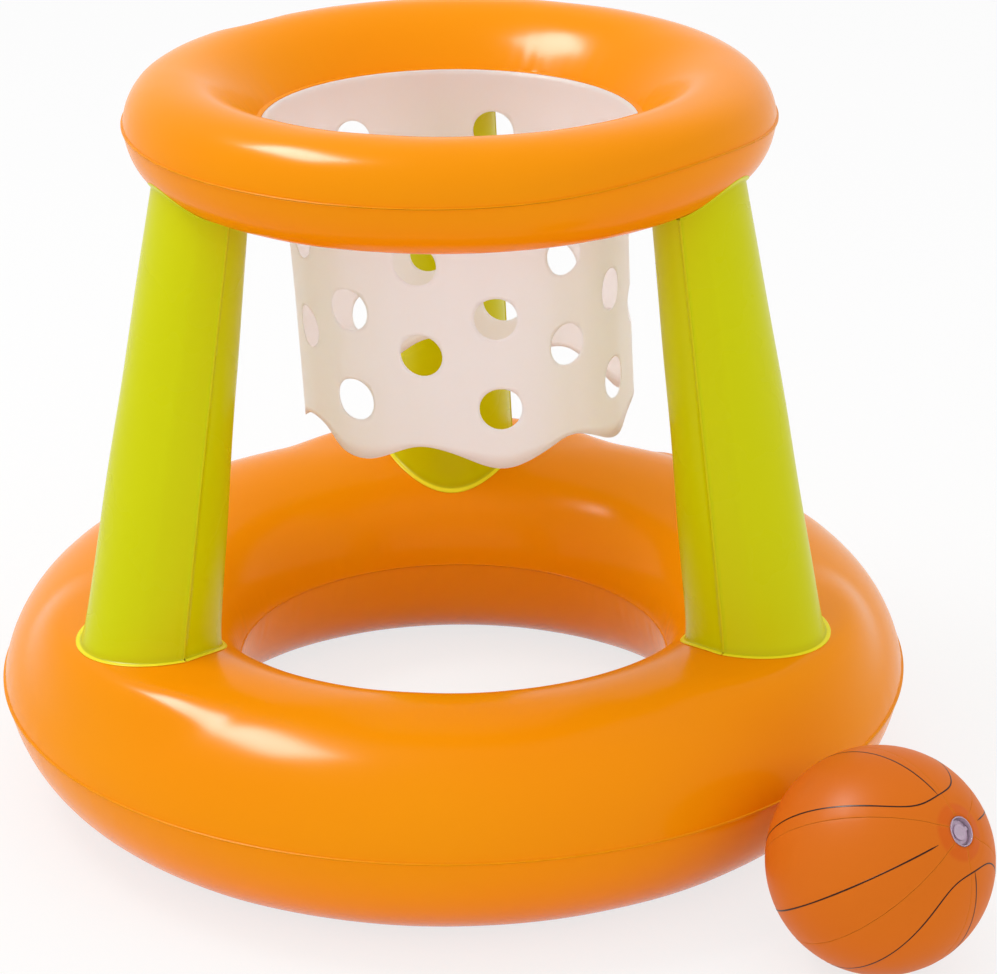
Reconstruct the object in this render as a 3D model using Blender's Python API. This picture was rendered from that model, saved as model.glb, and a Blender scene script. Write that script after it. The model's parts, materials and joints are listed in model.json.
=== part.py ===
"""A floating basketball hoop of welded vinyl sheet, with its small inflatable ball.

Every skin is one sheet of vinyl, drawn as a grid of points on its inner face and thickened
outwards. Two annular skins welded at both edges make the base ring, and two more the rim.
Three tapered legs, each of two panels, stand on the base and carry the rim. A punched sleeve
hangs from the rim's inner weld as the net. The ball is six gores welded from pole to pole.
Each air chamber has a push-in valve: a cup, a stem that pulls out, a plug and a check flap.
The origin is the middle of the set's footprint, on the surface that it stands on.
"""

import math

import bmesh
import bpy
import numpy as np
from mathutils import Matrix, Vector
from mathutils.bvhtree import BVHTree

for leftover in list(bpy.data.objects):
    bpy.data.objects.remove(leftover, do_unlink=True)

# Sheet and welds, all sizes in metres
vinyl_wall = 0.0005
net_wall = 0.0004
weld_edge = 0.0015
fit_gap = 0.0003
seam_pinch_share = 0.99

# Base ring
base_outer_radius = 0.3335
base_inner_radius = 0.1595
base_height = 0.1570
base_flat_depth = 0.0006
base_seam_lift = 0.0055
foot_place_reach = 0.0540
foot_place_end = 0.0820
foot_place_share = 0.9
foot_place_length_share = 0.6

# Rim, which carries the net
rim_outer_radius = 0.2285
rim_inner_radius = 0.1370
rim_height = 0.0720
rim_seam_lift = 0.0040
hoop_height = 0.5325

# Legs
leg_foot_half_width = 0.0490
leg_top_half_width = 0.0352
leg_top_outset = 0.0150
leg_seat = 0.0009
leg_foot_edge = 0.0035
leg_top_edge = 0.0035
leg_seam_edge = 0.0010
foot_flare = 0.0015
foot_flare_height = 0.0080

# Net sleeve
net_weld_band = 0.0040
net_skirt_radius = 0.1190
net_ease_depth = 0.0350
net_hem_depth = 0.2165
net_scallop = 0.0080
net_hole_radius = 0.0150
net_hole_pitch = 0.0662
net_first_hole_depth = 0.0480
net_second_hole_depth = 0.0745
net_lean_share = 0.05

# Ball, which lies beside the base
ball_radius = 0.0765
ball_clearance = 0.0165
ball_patch_radius = 0.0135

# Valves
bore_radius = 0.0030
tube_radius = 0.0045
stem_lip_radius = 0.0056
stem_lip_thickness = 0.0010
collar_radius = 0.0082
collar_thickness = 0.0012
cup_radius = 0.0093
cup_wall = 0.0008
cup_depth = 0.0045
cup_flange_width = 0.0065
stem_travel = 0.0080
plug_radius = 0.0055
plug_thickness = 0.0010
plug_shank = 0.0035
plug_shank_end_radius = 0.0014
plug_hinge_reach = 0.0075
flap_radius = 0.0039
flap_thickness = 0.0005
flap_hinge_reach = 0.0046
cutter_overrun = 0.0060

# Counts and angles
leg_azimuths = {"rear": 90.0, "left": 210.0, "right": 330.0}
scallops = 7
base_around, base_across = 44, 4
rim_around, rim_across = 36, 4
leg_across = 10
column_steps = 4
gores = 6
gore_turn = 22.0
gore_steps = (8, 4)
valve_sides = 12
base_valve_azimuth, rim_valve_azimuth = 360 / base_around * 6.5, 135.0
valve_turn = 49.0
ball_place_azimuth = -48.8
ball_valve_azimuth, ball_valve_rise = -42.0, 34.5

edge_share = math.sqrt(1 - seam_pinch_share**2)


def vinyl(name, colour, roughness, alpha=1.0):
    """A soft glossy vinyl in one colour."""
    material = bpy.data.materials.new(name)
    material.use_nodes = True
    shader = material.node_tree.nodes["Principled BSDF"]
    shader.inputs["Base Color"].default_value = (*colour, 1.0)
    shader.inputs["Roughness"].default_value = roughness
    shader.inputs["Metallic"].default_value = 0.0
    shader.inputs["Alpha"].default_value = alpha
    return material


orange_vinyl = vinyl("orange_vinyl", (0.90, 0.27, 0.01), 0.30)
lime_vinyl = vinyl("lime_vinyl", (0.55, 0.57, 0.0), 0.35)
frosted_vinyl = vinyl("frosted_vinyl", (0.86, 0.80, 0.80), 0.40, 0.8)
ball_vinyl = vinyl("ball_vinyl", (0.60, 0.16, 0.03), 0.38)
clear_vinyl = vinyl("clear_vinyl", (0.80, 0.72, 0.80), 0.15, 0.6)


def placed(name, mesh, material, parent, local=None):
    """An object for this mesh, on its parent, with smooth shading."""
    thing = bpy.data.objects.new(name, mesh)
    bpy.context.collection.objects.link(thing)
    thing.parent = parent
    if local is not None:
        thing.matrix_local = local
    if material is not None:
        mesh.materials.append(material)
    mesh.shade_smooth()
    mesh.set_sharp_from_angle(angle=math.radians(40))
    return thing


def anchor(name, parent, matrix):
    """An empty that carries pieces, at this matrix from its parent."""
    holder = bpy.data.objects.new(name, None)
    bpy.context.collection.objects.link(holder)
    holder.parent = parent
    holder.matrix_local = matrix
    holder.empty_display_size = weld_edge
    return holder


def thickened(thing, wall, offset=1.0):
    """Gives a sheet its wall, outwards from its grid unless told otherwise."""
    modifier = thing.modifiers.new("wall", "SOLIDIFY")
    modifier.thickness = wall
    modifier.offset = offset
    modifier.use_even_offset = True
    return thing


def sheet(name, grid, material, parent, closed=False, turned_over=False):
    """A vinyl sheet over a grid of points (rows, columns, xyz), closed along its columns."""
    rows, columns = grid.shape[:2]
    index = np.arange(rows * columns).reshape(rows, columns)
    if closed:
        index = np.column_stack([index, index[:, 0]])
    corners = [index[:-1, :-1], index[:-1, 1:], index[1:, 1:], index[1:, :-1]]
    faces = np.stack(corners, axis=-1).reshape(-1, 4)
    if turned_over:
        faces = faces[:, ::-1]
    mesh = bpy.data.meshes.new(name)
    mesh.from_pydata(grid.reshape(-1, 3).tolist(), [], faces.tolist())
    return thickened(placed(name, mesh, material, parent), vinyl_wall)


def around_axis(radius, height, angles):
    """Points of a profile (radius, height) at each angle, as a grid of rows by angles."""
    flat = np.stack([np.cos(angles), np.sin(angles)], axis=-1)
    level = np.broadcast_to(height[:, None, None], (len(radius), len(angles), 1))
    return np.concatenate([radius[:, None, None] * flat[None], level], axis=-1)


def full_circle(steps):
    return np.linspace(0, 2 * np.pi, steps, endpoint=False)


class Ring:
    """An air ring of two annuli welded at both edges, a little above half its height.

    Half of its section is an ellipse cut a little short of its ends, so the two skins meet
    at the welds with a slight crease. Side 1 is the upper skin and -1 the lower."""

    def __init__(self, outer, inner, height, bottom, seam_lift, feet=()):
        self.outer, self.inner, self.feet = outer, inner, feet
        self.middle = (outer + inner) / 2
        self.reach = (outer - inner) / 2
        self.level = bottom + height / 2 + seam_lift
        self.rises = {1: height / 2 - seam_lift, -1: height / 2 + seam_lift}

    def crown(self, radius, side):
        """How far a skin rises from the seam plane at this radius."""
        across = np.clip((np.asarray(radius) - self.middle) / self.reach, -1, 1)
        full = np.sqrt(1 - (seam_pinch_share * across) ** 2)
        return self.rises[side] * (full - edge_share) / (1 - edge_share)

    def foot_lift(self, flat_point):
        """How much a foot draws the upper skin up at x, y, on the ring's outer half.

        Under each foot the skin is almost level, and it falls to the seam beyond."""
        radius = np.linalg.norm(flat_point, axis=-1)
        weight = np.zeros_like(radius)
        for azimuth in self.feet:
            out = np.array([math.cos(azimuth), math.sin(azimuth)])
            along = np.array([-out[1], out[0]])
            from_foot = np.hypot(
                flat_point @ out - self.middle, foot_place_length_share * (flat_point @ along)
            )
            share = (foot_place_end - from_foot) / (foot_place_end - foot_place_reach)
            share = np.clip(share, 0, 1)
            weight = np.maximum(weight, share * share * (3 - 2 * share))
        weight = np.where(radius > self.middle, weight, 0)
        return foot_place_share * weight * (self.rises[1] - self.crown(radius, 1))

    def surface(self, flat_point, side):
        """The level of the upper (side 1) or lower (side -1) skin at x, y."""
        radius = np.linalg.norm(flat_point, axis=-1)
        lift = self.foot_lift(flat_point) if side > 0 else 0
        return self.level + side * self.crown(radius, side) + lift


base = Ring(
    base_outer_radius,
    base_inner_radius,
    base_height,
    -base_flat_depth,
    base_seam_lift,
    [math.radians(azimuth) for azimuth in leg_azimuths.values()],
)
rim = Ring(
    rim_outer_radius, rim_inner_radius, rim_height, hoop_height - rim_height, rim_seam_lift
)

ball_place_turn = math.radians(ball_place_azimuth)
ball_distance = base.outer + weld_edge + ball_clearance + ball_radius
ball_across_hoop = ball_distance * math.cos(ball_place_turn)
ball_before_hoop = -ball_distance * math.sin(ball_place_turn)

# The set's footprint is centred on the origin
low_x = -(base.outer + weld_edge)
high_x = max(-low_x, ball_across_hoop + ball_radius)
high_y = base.outer + weld_edge
low_y = min(-high_y, -(ball_before_hoop + ball_radius))
hoop_spot = Vector((-(low_x + high_x) / 2, -(low_y + high_y) / 2, 0))
hoop = anchor("hoop_middle", None, Matrix.Translation(hoop_spot))


def ring_skin(name, ring, side, around, across, outer_gap, inner_gap, inner_edge, flat=0):
    """One annular skin: weld edge, arc from the outer to the inner seam, weld edge.

    The arc's points turn evenly from seam to seam. With flat set, the crown is pressed
    flat over that depth, as where the ring rests."""
    turn = math.asin(seam_pinch_share)
    flat_turn = math.acos(1 - flat / ring.rises[side] * (1 - edge_share))
    outer_half = np.linspace(turn, flat_turn, across + 1)
    inner_half = np.linspace(-flat_turn, -turn, across + 1)
    turns = np.concatenate([outer_half, inner_half if flat else inner_half[1:]])
    reach, rise = ring.reach - vinyl_wall, ring.rises[side] - vinyl_wall
    radius = ring.middle + reach * np.sin(turns) / seam_pinch_share
    height = rise * (np.cos(turns) - edge_share) / (1 - edge_share)
    height = np.minimum(height, rise - flat)
    share = (radius - radius.min()) / np.ptp(radius)
    gap = inner_gap + (outer_gap - inner_gap) * share
    height = height + gap * (1 - height / height.max())
    radius = np.concatenate([[ring.outer + weld_edge], radius, [ring.inner - inner_edge]])
    height = np.concatenate([[outer_gap], height, [inner_gap]])
    grid = around_axis(radius, ring.level + side * height, full_circle(around))
    if side > 0:
        grid[1:-1, :, 2] += ring.foot_lift(grid[1:-1, :, :2])
    return sheet(name, grid, orange_vinyl, hoop, closed=True, turned_over=side < 0)


half_seam = fit_gap / 2
net_slot = net_wall / 2 + fit_gap
base_upper = ring_skin(
    "base_ring_upper_skin", base, 1, base_around, base_across, half_seam, half_seam, weld_edge
)
base_lower = ring_skin(
    "base_ring_lower_skin", base, -1, base_around, base_across, half_seam, half_seam,
    weld_edge, base_flat_depth,
)
rim_upper = ring_skin(
    "rim_upper_skin", rim, 1, rim_around, rim_across, half_seam, net_slot, net_weld_band
)
rim_lower = ring_skin(
    "rim_lower_skin", rim, -1, rim_around, rim_across, half_seam, net_slot, net_weld_band
)


# Legs: each panel is a grid of columns across it and rows up it
leg_rows_shares = (0.0, 0.02, 0.06, 0.14, 0.55, 1.0)
leg_foot_level = base.level + base.rises[1]
leg_top_level = rim.level - rim.rises[-1]


def leg_panel(name, azimuth, side):
    """Half a tapered leg, on the outer (side 1) or inner (side -1) side of its seam plane.

    The seam plane holds the leg's axis and the hoop's tangent there. The foot flares onto
    the base ring and ends in a weld edge that follows the ring; the top does so on the rim."""
    out = np.array([math.cos(azimuth), math.sin(azimuth)])
    along = np.array([-out[1], out[0]])
    turn = math.asin(seam_pinch_share)
    turns = np.linspace(-turn, turn, leg_across + 1)
    across_shares = np.concatenate([[-1.0], np.sin(turns) / seam_pinch_share, [1.0]])
    bulge = (np.cos(turns) - edge_share) / (1 - edge_share)
    bulge_shares = np.concatenate([[0.0], bulge, [0.0]])
    edge = np.zeros(leg_across + 3)
    edge[0], edge[-1] = -leg_seam_edge, leg_seam_edge

    def axis_at(level):
        up = (level - leg_foot_level) / (leg_top_level - leg_foot_level)
        radius = base.middle + (rim.middle + leg_top_outset - base.middle) * up
        half = leg_foot_half_width + (leg_top_half_width - leg_foot_half_width) * up
        return radius, half - vinyl_wall

    def flat_at(level, above_foot):
        radius, half = axis_at(level)
        half = half + foot_flare * np.exp(-above_foot / foot_flare_height)
        away = half_seam + bulge_shares * (half - half_seam)
        across = across_shares * half + edge
        return (radius + side * away)[:, None] * out + across[:, None] * along

    def seated(ring, ring_side, start_level, above_foot):
        """The levels at which the columns meet a ring, found by stepping onto its skin."""
        level = np.full(len(edge), start_level)
        for _ in range(6):
            flat = flat_at(level, above_foot)
            level = ring.surface(flat, ring_side) + ring_side * leg_seat
        return level

    def weld_row(level, above_foot, ring, ring_side, width):
        """The outer edge of the weld: this width away along the ring's skin."""
        flat = flat_at(level, above_foot)
        radius, _ = axis_at(level)
        outward = flat - radius[:, None] * out
        outward /= np.linalg.norm(outward, axis=1, keepdims=True)
        climb = ring.surface(flat + outward * width, ring_side) - ring.surface(flat, ring_side)
        step = width * width / np.hypot(width, climb)
        flat = flat + outward * step[:, None]
        return np.column_stack([flat, ring.surface(flat, ring_side) + ring_side * leg_seat])

    foot = seated(base, 1, leg_foot_level, np.zeros(len(edge)))
    top = seated(rim, -1, leg_top_level, np.full(len(edge), leg_top_level))
    rows = [weld_row(foot, np.zeros(len(edge)), base, 1, leg_foot_edge)]
    for share in leg_rows_shares:
        level = foot + (top - foot) * share
        rows.append(np.column_stack([flat_at(level, level - foot), level]))
    rows.append(weld_row(top, top - foot, rim, -1, leg_top_edge))
    return sheet(name, np.array(rows), lime_vinyl, hoop, turned_over=side < 0)


for leg_name, degrees in leg_azimuths.items():
    leg_panel(f"leg_{leg_name}_outer_panel", math.radians(degrees), 1)
    leg_panel(f"leg_{leg_name}_inner_panel", math.radians(degrees), -1)


# Net: a flat punched strip, rolled into a sleeve
columns = 2 * scallops
column_turn = 2 * math.pi / columns
net_first_turn = math.radians(11.6) - math.pi / 2
# Beside a rim of flat sides, the sleeve keeps clear of the middle of each side
net_top_radius = (rim.inner - net_weld_band) * math.cos(math.pi / rim_around)
net_top_radius -= fit_gap + net_wall / 2


def sleeve_point(turn, depth):
    """Where a point of the strip goes: the sleeve eases in to its skirt, and leans a little."""
    ease = math.exp(-depth / net_ease_depth)
    radius = net_skirt_radius + (net_top_radius - net_skirt_radius) * ease
    angle = net_first_turn + turn * column_turn
    return Vector((
        radius * math.cos(angle) + net_lean_share * depth,
        radius * math.sin(angle),
        rim.level - depth,
    ))


def hem_depth(turn):
    return net_hem_depth + net_scallop * math.cos(math.pi * turn)


def punched_sleeve():
    """Each column of the strip is a stack of cells with a round hole, plain above and below.

    Turns count columns, with the holes' centres at whole numbers. Neighbouring columns
    stagger their holes, so every side of a cell has one point where the next cells meet."""
    build = bmesh.new()
    half = net_hole_pitch / 2
    even_tops = [net_first_hole_depth + net_hole_pitch * i - half for i in range(4)]
    odd_tops = [net_second_hole_depth + net_hole_pitch * i - half for i in range(3)]
    side_depths = sorted([0.0, *even_tops[:3], *odd_tops])

    def corner(turn, depth):
        return build.verts.new(sleeve_point(turn, depth))

    def across(column):
        return [column - 0.5 + step / column_steps for step in range(column_steps + 1)]

    def plain(column, top, bottom):
        """A row of plain quads between two depths, the last of them following the hem."""
        low = [hem_depth(t) if bottom is None else bottom for t in across(column)]
        upper = [corner(turn, top) for turn in across(column)]
        lower = [corner(turn, depth) for turn, depth in zip(across(column), low)]
        for i in range(column_steps):
            build.faces.new((upper[i], lower[i], lower[i + 1], upper[i + 1]))

    def cell(column, top, bottom, hole_depth):
        """A cell's outline bridged to its round hole, point by point."""
        low = [hem_depth(t) if bottom is None else bottom for t in across(column)]
        inside = [d for d in side_depths if top < d < low[0] - vinyl_wall]
        turns = across(column)
        outline = [(turn, depth) for turn, depth in zip(turns, low)]
        outline += [(turns[-1], depth) for depth in reversed(inside)]
        outline += [(turn, top) for turn in reversed(turns)]
        outline += [(turns[0], depth) for depth in inside]
        ring = [corner(*spot) for spot in outline]
        width = net_skirt_radius * column_turn
        punched = []
        for turn, depth in outline:
            angle = math.atan2((depth - hole_depth) / half, (turn - column) * 2)
            punched.append(corner(
                column + net_hole_radius * math.cos(angle) / width,
                hole_depth + net_hole_radius * math.sin(angle),
            ))
        for i in range(len(ring)):
            j = (i + 1) % len(ring)
            build.faces.new((ring[i], ring[j], punched[j], punched[i]))

    # The lip, welded between the rim's two skins
    lip_radius = rim.inner - weld_edge / 2
    for step in range(columns * column_steps):
        quad = []
        for turn in (step / column_steps - 0.5, (step + 1) / column_steps - 0.5):
            inner = sleeve_point(turn, 0.0)
            outer = inner.copy()
            outer.xy = inner.xy.normalized() * lip_radius
            quad += [inner, outer] if not quad else [outer, inner]
        build.faces.new([build.verts.new(spot) for spot in quad])

    for column in range(columns):
        plain(column, 0.0, even_tops[0])
        if column % 2:
            plain(column, even_tops[0], odd_tops[0])
            for i in range(2):
                cell(column, odd_tops[i], odd_tops[i + 1], odd_tops[i] + half)
            plain(column, odd_tops[2], None)
        else:
            for i in range(3):
                bottom = even_tops[i + 1] if i < 2 else None
                cell(column, even_tops[i], bottom, even_tops[i] + half)
    bmesh.ops.remove_doubles(build, verts=build.verts, dist=fit_gap / 10)
    bmesh.ops.recalc_face_normals(build, faces=build.faces)
    mesh = bpy.data.meshes.new("net_sleeve")
    build.to_mesh(mesh)
    build.free()
    return thickened(placed("net_sleeve", mesh, frosted_vinyl, hoop), net_wall, 0.0)


punched_sleeve()


def turned(name, profile, material, parent, local=None, tab_reach=None, tab_level=None):
    """A solid turned from a profile of (radius, height) about its local Z axis.

    Points on the axis close it. A tab, where asked for, is the one side face that looks
    along +X at the tab's level, pulled out to its reach."""
    build = bmesh.new()
    spin_start = Matrix.Rotation(-math.pi / valve_sides, 3, "Z")
    ring = [build.verts.new(spin_start @ Vector((r, 0, z))) for r, z in profile]
    edges = [build.edges.new(pair) for pair in zip(ring, ring[1:])]
    if profile[0][0] > 0:
        edges.append(build.edges.new((ring[-1], ring[0])))
    bmesh.ops.spin(
        build, geom=ring + edges, cent=(0, 0, 0), axis=(0, 0, 1),
        angle=2 * math.pi, steps=valve_sides, use_merge=True,
    )
    bmesh.ops.remove_doubles(build, verts=build.verts, dist=fit_gap / 10)
    bmesh.ops.recalc_face_normals(build, faces=build.faces)
    if tab_reach is not None:
        level_faces = [
            face for face in build.faces
            if abs(face.calc_center_median().z - tab_level) < fit_gap
        ]
        side = max(level_faces, key=lambda face: face.calc_center_median().x)
        pulled = bmesh.ops.extrude_face_region(build, geom=[side])
        bmesh.ops.delete(build, geom=[side], context="FACES_ONLY")
        for vert in (v for v in pulled["geom"] if isinstance(v, bmesh.types.BMVert)):
            vert.co.x = tab_reach
        bmesh.ops.recalc_face_normals(build, faces=build.faces)
    mesh = bpy.data.meshes.new(name)
    build.to_mesh(mesh)
    build.free()
    return placed(name, mesh, material, parent, local)


# Heights in a valve, from the skin's outer face
collar_low = -cup_depth + fit_gap
collar_top = collar_low + collar_thickness
plug_low = collar_top + fit_gap
stem_lip_top = -cup_depth - cup_wall - fit_gap - stem_travel
stem_lip_low = stem_lip_top - stem_lip_thickness
flap_top = stem_lip_low - fit_gap
flange_top = -vinyl_wall - fit_gap
flange_low = flange_top - cup_wall
cup_outer = cup_radius + cup_wall
flange_radius = cup_outer + cup_flange_width
valve_hole_radius = cup_outer + fit_gap


class Skin:
    """The inner faces of some sheets of one parent, to seat valves on."""

    def __init__(self, things):
        points, faces = [], []
        for thing in things:
            start = len(points)
            points += [vert.co.copy() for vert in thing.data.vertices]
            faces += [[start + v for v in face.vertices] for face in thing.data.polygons]
        self.tree = BVHTree.FromPolygons(points, faces)

    def frame_at(self, outside, inwards):
        """A frame on the skin's outer face, +Z out of it and +X level, found from outside."""
        place, up, _, _ = self.tree.ray_cast(outside, inwards)
        side = Vector((0, 0, 1)).cross(up).normalized()
        frame = Matrix((side, up.cross(side), up)).transposed().to_4x4()
        frame.translation = place + up * vinyl_wall
        return frame

    def level_at(self, frame, flat_point):
        """How far the inner face lies above its level at the frame's middle."""
        reach = max(flat_point.length, valve_hole_radius + fit_gap)
        spot = (flat_point.normalized() * reach).to_3d()
        down = -frame.col[2].to_3d()
        place, _, _, _ = self.tree.ray_cast(frame @ spot - down * cutter_overrun, down)
        return (frame.inverted() @ place).z + vinyl_wall


def hinged(name, profile, parent, reach, low, high, axis_level):
    """A turned lid with a tab to its hinge, and its origin on the hinge's axis."""
    lid = turned(
        name, profile, clear_vinyl, parent, tab_reach=reach, tab_level=(low + high) / 2
    )
    pivot = Vector((reach, 0, axis_level))
    lid.data.transform(Matrix.Translation(-pivot))
    lid.location = pivot


def valve(prefix, parent, skin, frame):
    """A push-in valve, flush with a skin at this frame. Its flange follows the skin inside."""
    spot = anchor(f"{prefix}_middle", parent, frame)
    seat_profile = [
        (flange_radius, flange_top),
        (flange_radius, flange_low),
        (cup_outer, flange_low),
        (cup_outer, -cup_depth - cup_wall),
        (tube_radius + fit_gap, -cup_depth - cup_wall),
        (tube_radius + fit_gap, -cup_depth),
        (cup_radius, -cup_depth),
        (cup_radius, 0.0),
        (cup_outer, 0.0),
        (cup_outer, flange_top),
    ]
    seat = turned(f"{prefix}_seat", seat_profile, clear_vinyl, spot)
    for vert in seat.data.vertices:
        if min(abs(vert.co.z - flange_top), abs(vert.co.z - flange_low)) < fit_gap / 2:
            vert.co.z += skin.level_at(frame, vert.co.to_2d())
    stem_profile = [
        (collar_radius, collar_top),
        (collar_radius, collar_low),
        (tube_radius, collar_low),
        (tube_radius, stem_lip_top),
        (stem_lip_radius, stem_lip_top),
        (stem_lip_radius, stem_lip_low),
        (bore_radius, stem_lip_low),
        (bore_radius, collar_top),
    ]
    turned(f"{prefix}_stem", stem_profile, clear_vinyl, spot)
    # The plug and the flap turn about the ends of their tabs
    plug_top = plug_low + plug_thickness
    plug_profile = [
        (0.0, plug_top),
        (plug_radius, plug_top),
        (plug_radius, plug_low),
        (bore_radius - fit_gap, plug_low),
        (plug_shank_end_radius, plug_low - plug_shank),
        (0.0, plug_low - plug_shank),
    ]
    plug_axis_level = (plug_low + plug_top) / 2
    hinged(
        f"{prefix}_plug", plug_profile, spot, plug_hinge_reach, plug_low, plug_top,
        plug_axis_level,
    )
    flap_low = flap_top - flap_thickness
    flap_profile = [
        (0.0, flap_top),
        (flap_radius, flap_top),
        (flap_radius, flap_low),
        (0.0, flap_low),
    ]
    hinged(
        f"{prefix}_flap", flap_profile, spot, flap_hinge_reach, flap_low, flap_top, flap_top
    )


def valve_hole(thing, name, frame):
    """Cuts the round hole that a valve's cup sits in."""
    build = bmesh.new()
    bmesh.ops.create_cone(
        build, cap_ends=True, segments=2 * valve_sides, radius1=valve_hole_radius,
        radius2=valve_hole_radius, depth=2 * cutter_overrun,
    )
    mesh = bpy.data.meshes.new(name)
    build.to_mesh(mesh)
    build.free()
    cutter = placed(name, mesh, None, hoop, frame)
    cutter.hide_render = True
    cutter.display_type = "WIRE"
    hole = thing.modifiers.new("valve_hole", "BOOLEAN")
    hole.operation = "DIFFERENCE"
    hole.solver = "EXACT"
    hole.object = cutter


for prefix, thing, ring, azimuth in (
    ("base_valve", base_upper, base, base_valve_azimuth),
    ("rim_valve", rim_upper, rim, rim_valve_azimuth),
):
    out = Matrix.Rotation(math.radians(azimuth), 3, "Z") @ Vector((1, 0, 0))
    lean = Matrix.Rotation(math.radians(valve_turn), 3, Vector((0, 0, 1)).cross(out))
    away = lean @ Vector((0, 0, 1))
    middle = out * ring.middle + Vector((0, 0, ring.level))
    ring_inside = Skin([thing])
    valve_frame = ring_inside.frame_at(middle + away * ring.outer, -away)
    valve(prefix, hoop, ring_inside, valve_frame)
    valve_hole(thing, f"{prefix}_hole", valve_frame)


# Ball: its pole axis is local Z, with the valve at the upper pole
ball_azimuth, ball_rise = math.radians(ball_valve_azimuth), math.radians(ball_valve_rise)
ball_pole = Vector((
    math.cos(ball_azimuth) * math.cos(ball_rise),
    math.sin(ball_azimuth) * math.cos(ball_rise),
    math.sin(ball_rise),
))
ball_side = Vector((0, 0, 1)).cross(ball_pole).normalized()
ball_matrix = Matrix((ball_side, ball_pole.cross(ball_side), ball_pole)).transposed().to_4x4()
ball_matrix.translation = Vector((ball_across_hoop, -ball_before_hoop, ball_radius))
ball = anchor("ball_middle", hoop, ball_matrix)


def gore(number):
    """One of the ball's gores: a lune of the sphere, from pole hole to pole hole."""
    inside = ball_radius - vinyl_wall
    spread = 2 * math.pi / gores
    start = math.radians(gore_turn) + spread * number
    hole_angle = math.asin(valve_hole_radius / inside)
    weld_angle = math.asin((flange_radius + fit_gap) / inside)
    down = np.linspace(weld_angle, math.pi - weld_angle, gore_steps[0] + 1)
    down = np.concatenate([[hole_angle], down, [math.pi - hole_angle]])
    # The gap beside a gore keeps its width in metres, so its angle grows to the poles
    slack = half_seam / (inside * np.sin(down))
    share = np.linspace(0, 1, gore_steps[1] + 1)
    turns = start + slack[:, None] + (spread - 2 * slack[:, None]) * share
    around = inside * np.sin(down)[:, None]
    level = np.broadcast_to(inside * np.cos(down)[:, None], turns.shape)
    grid = np.stack([around * np.cos(turns), around * np.sin(turns), level], axis=-1)
    name = f"ball_panel_{number + 1}"
    return sheet(name, grid, ball_vinyl, ball, turned_over=True)


ball_panels = [gore(number) for number in range(gores)]


def end_patch():
    """The round patch over the far pole, dished like the ball, just outside the gores."""
    radii = ball_patch_radius * np.array([0, 0.5, 1])
    inner_skin = ball_radius + fit_gap
    near = [(r, -math.sqrt(inner_skin**2 - r**2)) for r in radii]
    far = [(r, -math.sqrt((inner_skin + vinyl_wall) ** 2 - r**2)) for r in radii]
    turned("ball_end_patch", near + far[::-1], ball_vinyl, ball)


end_patch()
ball_top = Matrix.Translation((0, 0, ball_radius))
valve("ball_valve", ball, Skin(ball_panels), ball_top)
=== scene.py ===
"""A floating basketball hoop of blown-up vinyl sheet, with its small inflatable ball.

The file follows the hoop as it is put together: the base ring, the rim, the legs between
them, the net, the ball and the valves. Every skin is one vinyl film, worked out as a grid of
points on its outer face and then given its wall inwards.
"""

import json
import math

import bmesh
import bpy
import numpy as np
from mathutils import Matrix, Vector


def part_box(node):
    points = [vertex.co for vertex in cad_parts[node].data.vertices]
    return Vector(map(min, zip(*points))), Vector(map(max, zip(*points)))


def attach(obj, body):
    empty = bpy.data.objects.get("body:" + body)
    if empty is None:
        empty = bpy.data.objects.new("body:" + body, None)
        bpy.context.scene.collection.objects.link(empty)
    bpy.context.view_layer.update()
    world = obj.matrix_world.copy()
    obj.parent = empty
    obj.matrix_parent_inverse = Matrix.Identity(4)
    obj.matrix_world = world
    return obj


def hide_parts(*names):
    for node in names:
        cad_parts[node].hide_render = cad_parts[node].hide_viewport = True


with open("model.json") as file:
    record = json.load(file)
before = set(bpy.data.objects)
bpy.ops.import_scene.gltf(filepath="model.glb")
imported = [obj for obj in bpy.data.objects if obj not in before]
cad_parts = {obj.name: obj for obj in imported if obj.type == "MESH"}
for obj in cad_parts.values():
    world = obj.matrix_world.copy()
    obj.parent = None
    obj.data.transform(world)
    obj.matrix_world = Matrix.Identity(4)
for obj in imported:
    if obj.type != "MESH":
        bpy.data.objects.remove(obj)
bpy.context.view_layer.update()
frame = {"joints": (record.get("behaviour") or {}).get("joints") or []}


# Camera
# A long lens stands a little over two metres in front of the hoop, and looks down on it.
base_low, base_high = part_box("base_ring_upper_skin")
hoop_x, hoop_y = (base_low.x + base_high.x) / 2, (base_low.y + base_high.y) / 2
camera_back, camera_height = 2.3712, 1.1959
camera_pitch, camera_yaw, camera_roll = -0.3921, 0.0144, -0.0065
camera_lens, camera_sensor, camera_reach = 126.1, 36.0, 50.0

camera_data = bpy.data.cameras.new("studio_camera")
camera_data.lens = camera_lens
camera_data.sensor_width = camera_sensor
camera_data.clip_end = camera_reach
camera = bpy.data.objects.new("studio_camera", camera_data)
bpy.context.collection.objects.link(camera)
aim = Vector((
    math.sin(camera_yaw) * math.cos(camera_pitch),
    math.cos(camera_yaw) * math.cos(camera_pitch),
    math.sin(camera_pitch),
))
level_right = Vector((math.cos(camera_yaw), -math.sin(camera_yaw), 0))
level_up = level_right.cross(aim)
camera_right = level_right * math.cos(camera_roll) + level_up * math.sin(camera_roll)
camera_up = level_up * math.cos(camera_roll) - level_right * math.sin(camera_roll)
camera_turn = Matrix((camera_right, camera_up, -aim)).transposed().to_4x4()
camera_spot = Vector((hoop_x, hoop_y - camera_back, camera_height))
camera.matrix_world = Matrix.Translation(camera_spot) @ camera_turn
bpy.context.scene.camera = camera
bpy.context.scene.view_settings.view_transform = "Standard"


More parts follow.
